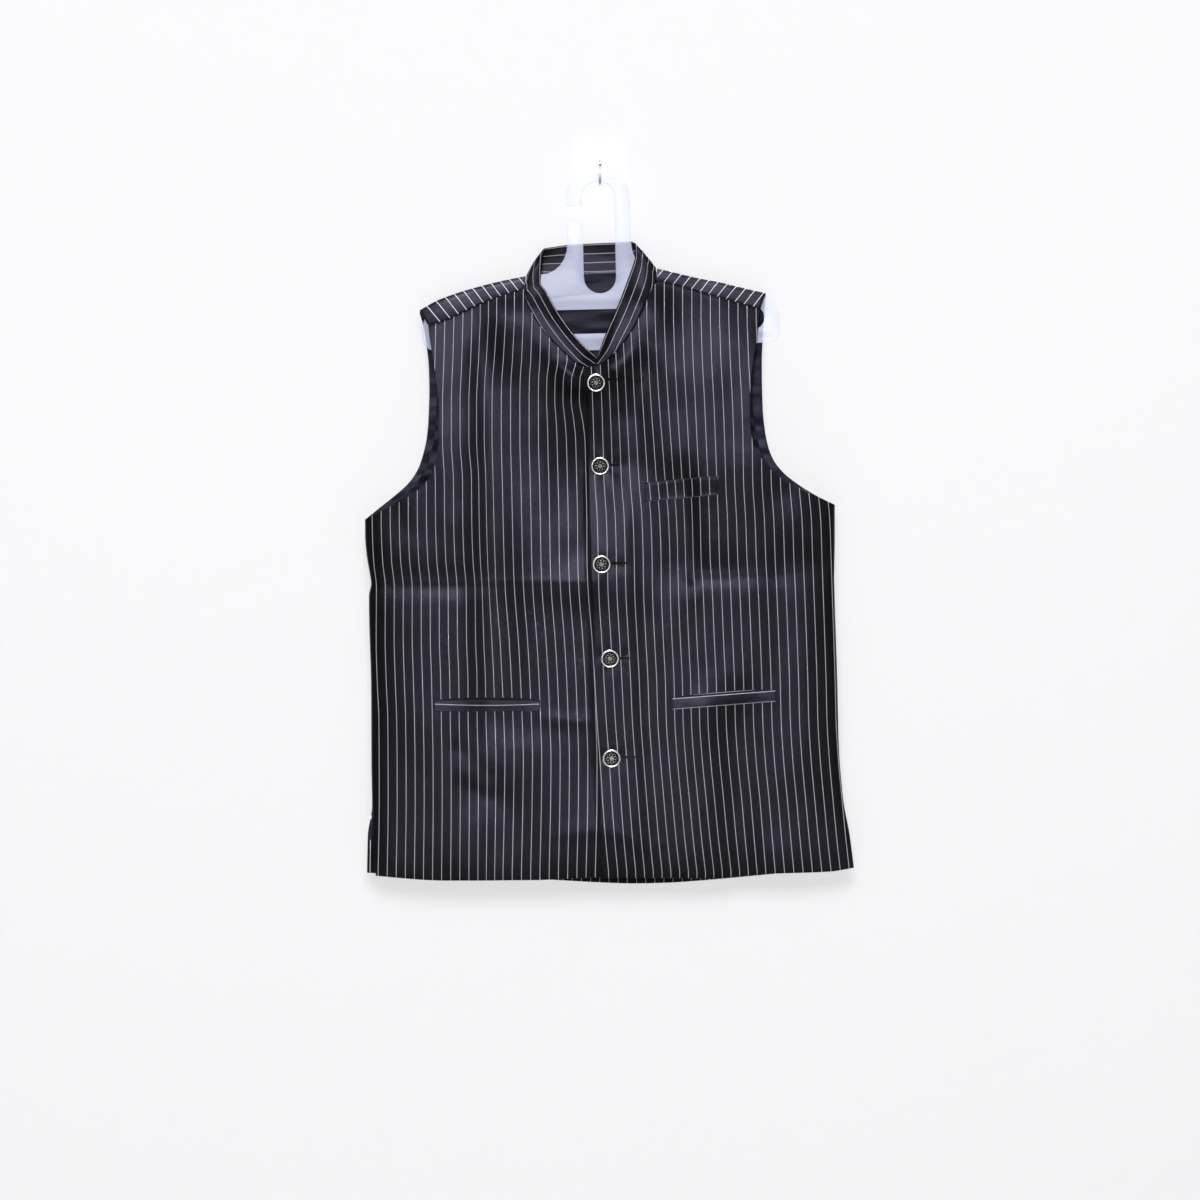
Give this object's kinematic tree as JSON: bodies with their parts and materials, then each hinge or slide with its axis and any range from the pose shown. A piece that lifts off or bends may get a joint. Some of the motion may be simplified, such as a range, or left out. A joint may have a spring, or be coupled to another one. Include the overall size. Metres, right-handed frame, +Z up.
{
  "type": "nehru jacket on a hanger with a wall hook",
  "caption": "Sleeveless buttoned jacket with a band collar and welt pockets, hanging flat on a plastic hanger from a small wall hook.",
  "frame": {"origin": "centre of the hook plate's back face, on the wall", "axes": "+X to the wearer's left, +Y into the wall (the jacket's front faces -Y), +Z up"},
  "size_m": [0.5877, 0.0492, 0.8973],
  "materials": {
    "suiting": "smooth worsted suiting, near black with fine pale pinstripes",
    "lining": "dark navy satin lining",
    "label": "small dark woven size tab",
    "button_rim": "polished silver-tone metal",
    "button_core": "dark enamel with raised metal filigree",
    "hanger_plastic": "translucent frosted plastic, faintly blue",
    "hook_clear": "clear glossy plastic",
    "hook_wire": "bare steel wire"
  },
  "bodies": {
    "root": {"front_right": "suiting", "front_left": "suiting", "back": "suiting", "collar": "suiting", "chest_welt": "suiting", "hip_welt_right": "suiting", "hip_welt_left": "suiting", "back_lining": "lining", "size_label": "label", "button_rim_1": "button_rim", "button_rim_2": "button_rim", "button_rim_3": "button_rim", "button_rim_4": "button_rim", "button_rim_5": "button_rim", "button_core_1": "button_core", "button_core_2": "button_core", "button_core_3": "button_core", "button_core_4": "button_core", "button_core_5": "button_core", "hanger": "hanger_plastic", "hook_plate": "hook_clear", "hook_boss": "hook_clear", "hook_wire": "hook_wire"}
  },
  "joints": []
}
